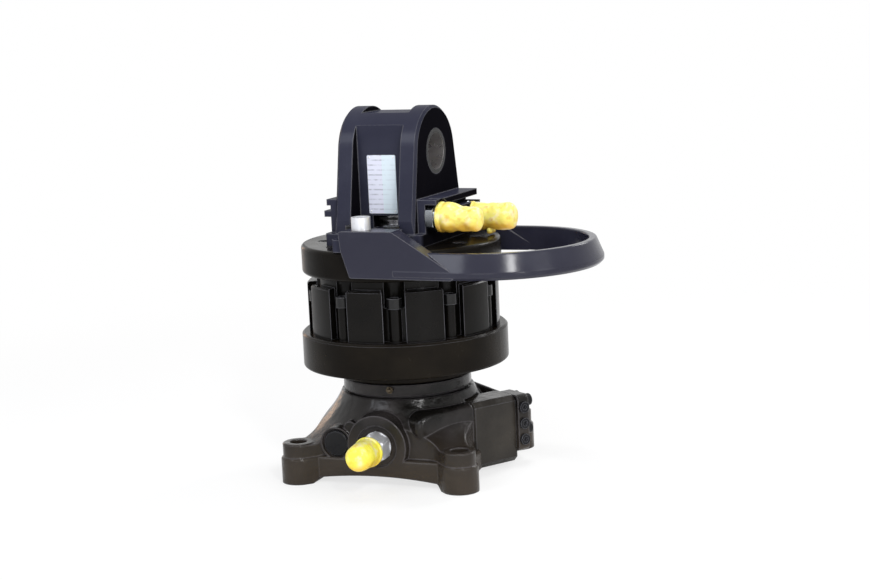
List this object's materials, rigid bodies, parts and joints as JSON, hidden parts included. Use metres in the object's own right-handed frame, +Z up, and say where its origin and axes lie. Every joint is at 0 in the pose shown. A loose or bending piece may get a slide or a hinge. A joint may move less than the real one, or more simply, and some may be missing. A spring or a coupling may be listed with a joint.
{
  "type": "hydraulic rotator",
  "caption": "Vane-type hydraulic rotator: pin-bored hanger over a round vane motor, swivel shaft and a flange-footed lower casting with hose ports, check valve and hose hoop.",
  "frame": {"origin": "centre of the four feet of the lower casting, on the face they stand on", "axes": "+Z up along the rotation axis to the pin bore, +X towards the hose hoop and along the pin bore, -Y towards the rating plate"},
  "size_m": [0.3084, 0.2772, 0.3555],
  "materials": {
    "hanger_paint": "satin black paint over a rough casting",
    "casing_paint": "gloss black paint over turned steel",
    "head_paint": "gloss black paint over a casting",
    "bare_plate": "plain pale plate, no marks",
    "dark_screw": "painted over black",
    "plated_steel": "bright zinc plating",
    "bush_bronze": "plain bearing bronze",
    "machined_steel": "ground steel, oiled",
    "seal_rubber": "black seal rubber",
    "upper_cap_plastic": "pale yellow soft plastic",
    "lower_cap_plastic": "yellow plastic"
  },
  "bodies": {
    "housing": {"hanger_bracket": "hanger_paint", "hanger_screws": "dark_screw", "lug_bushes": "bush_bronze", "rating_plate": "bare_plate", "hose_guard": "hanger_paint", "guard_bolts": "plated_steel", "rotation_plugs": "plated_steel", "front_inlet_adapter": "plated_steel", "rear_inlet_adapter": "plated_steel", "upper_cover": "casing_paint", "cover_screws": "dark_screw", "stator": "casing_paint", "stator_screws": "plated_steel", "cover_orings": "seal_rubber", "lower_cover": "casing_paint", "lower_bush": "bush_bronze", "upper_bush": "bush_bronze", "shaft_seal": "seal_rubber", "lower_race": "machined_steel", "thrust_rollers": "machined_steel"},
    "lower_head": {"lower_head": "head_paint", "shaft": "machined_steel", "rotor": "machined_steel", "vanes": "machined_steel", "head_screws": "dark_screw", "dust_ring": "seal_rubber", "grease_nipple": "plated_steel", "gallery_plugs": "dark_screw", "valve_block": "head_paint", "valve_cartridge": "machined_steel", "valve_poppet": "machined_steel", "valve_cover": "head_paint", "valve_plugs": "plated_steel", "valve_screws": "dark_screw", "upper_race": "machined_steel", "shaft_nut": "machined_steel", "swivel_seals": "seal_rubber", "front_outlet_adapter": "plated_steel", "rear_outlet_adapter": "plated_steel"},
    "front_inlet_cap": {"front_inlet_cap": "upper_cap_plastic"},
    "rear_inlet_cap": {"rear_inlet_cap": "upper_cap_plastic"},
    "front_outlet_cap": {"front_outlet_cap": "lower_cap_plastic"},
    "rear_outlet_cap": {"rear_outlet_cap": "lower_cap_plastic"}
  },
  "joints": [
    {"name": "rotation", "type": "hinge", "parent": "housing", "child": "lower_head", "pos_m": [0, 0, 0.1], "axis": [0, 0, 1], "continuous": true},
    {"name": "front_inlet_cap_pull", "type": "slide", "parent": "housing", "child": "front_inlet_cap", "axis": [1, 0, 0], "range_m": [0, 0.04]},
    {"name": "rear_inlet_cap_pull", "type": "slide", "parent": "housing", "child": "rear_inlet_cap", "axis": [1, 0, 0], "range_m": [0, 0.04]},
    {"name": "front_outlet_cap_pull", "type": "slide", "parent": "lower_head", "child": "front_outlet_cap", "axis": [0.061, -0.9981, 0], "range_m": [0, 0.04]},
    {"name": "rear_outlet_cap_pull", "type": "slide", "parent": "lower_head", "child": "rear_outlet_cap", "axis": [-0.061, 0.9981, 0], "range_m": [0, 0.04]}
  ]
}
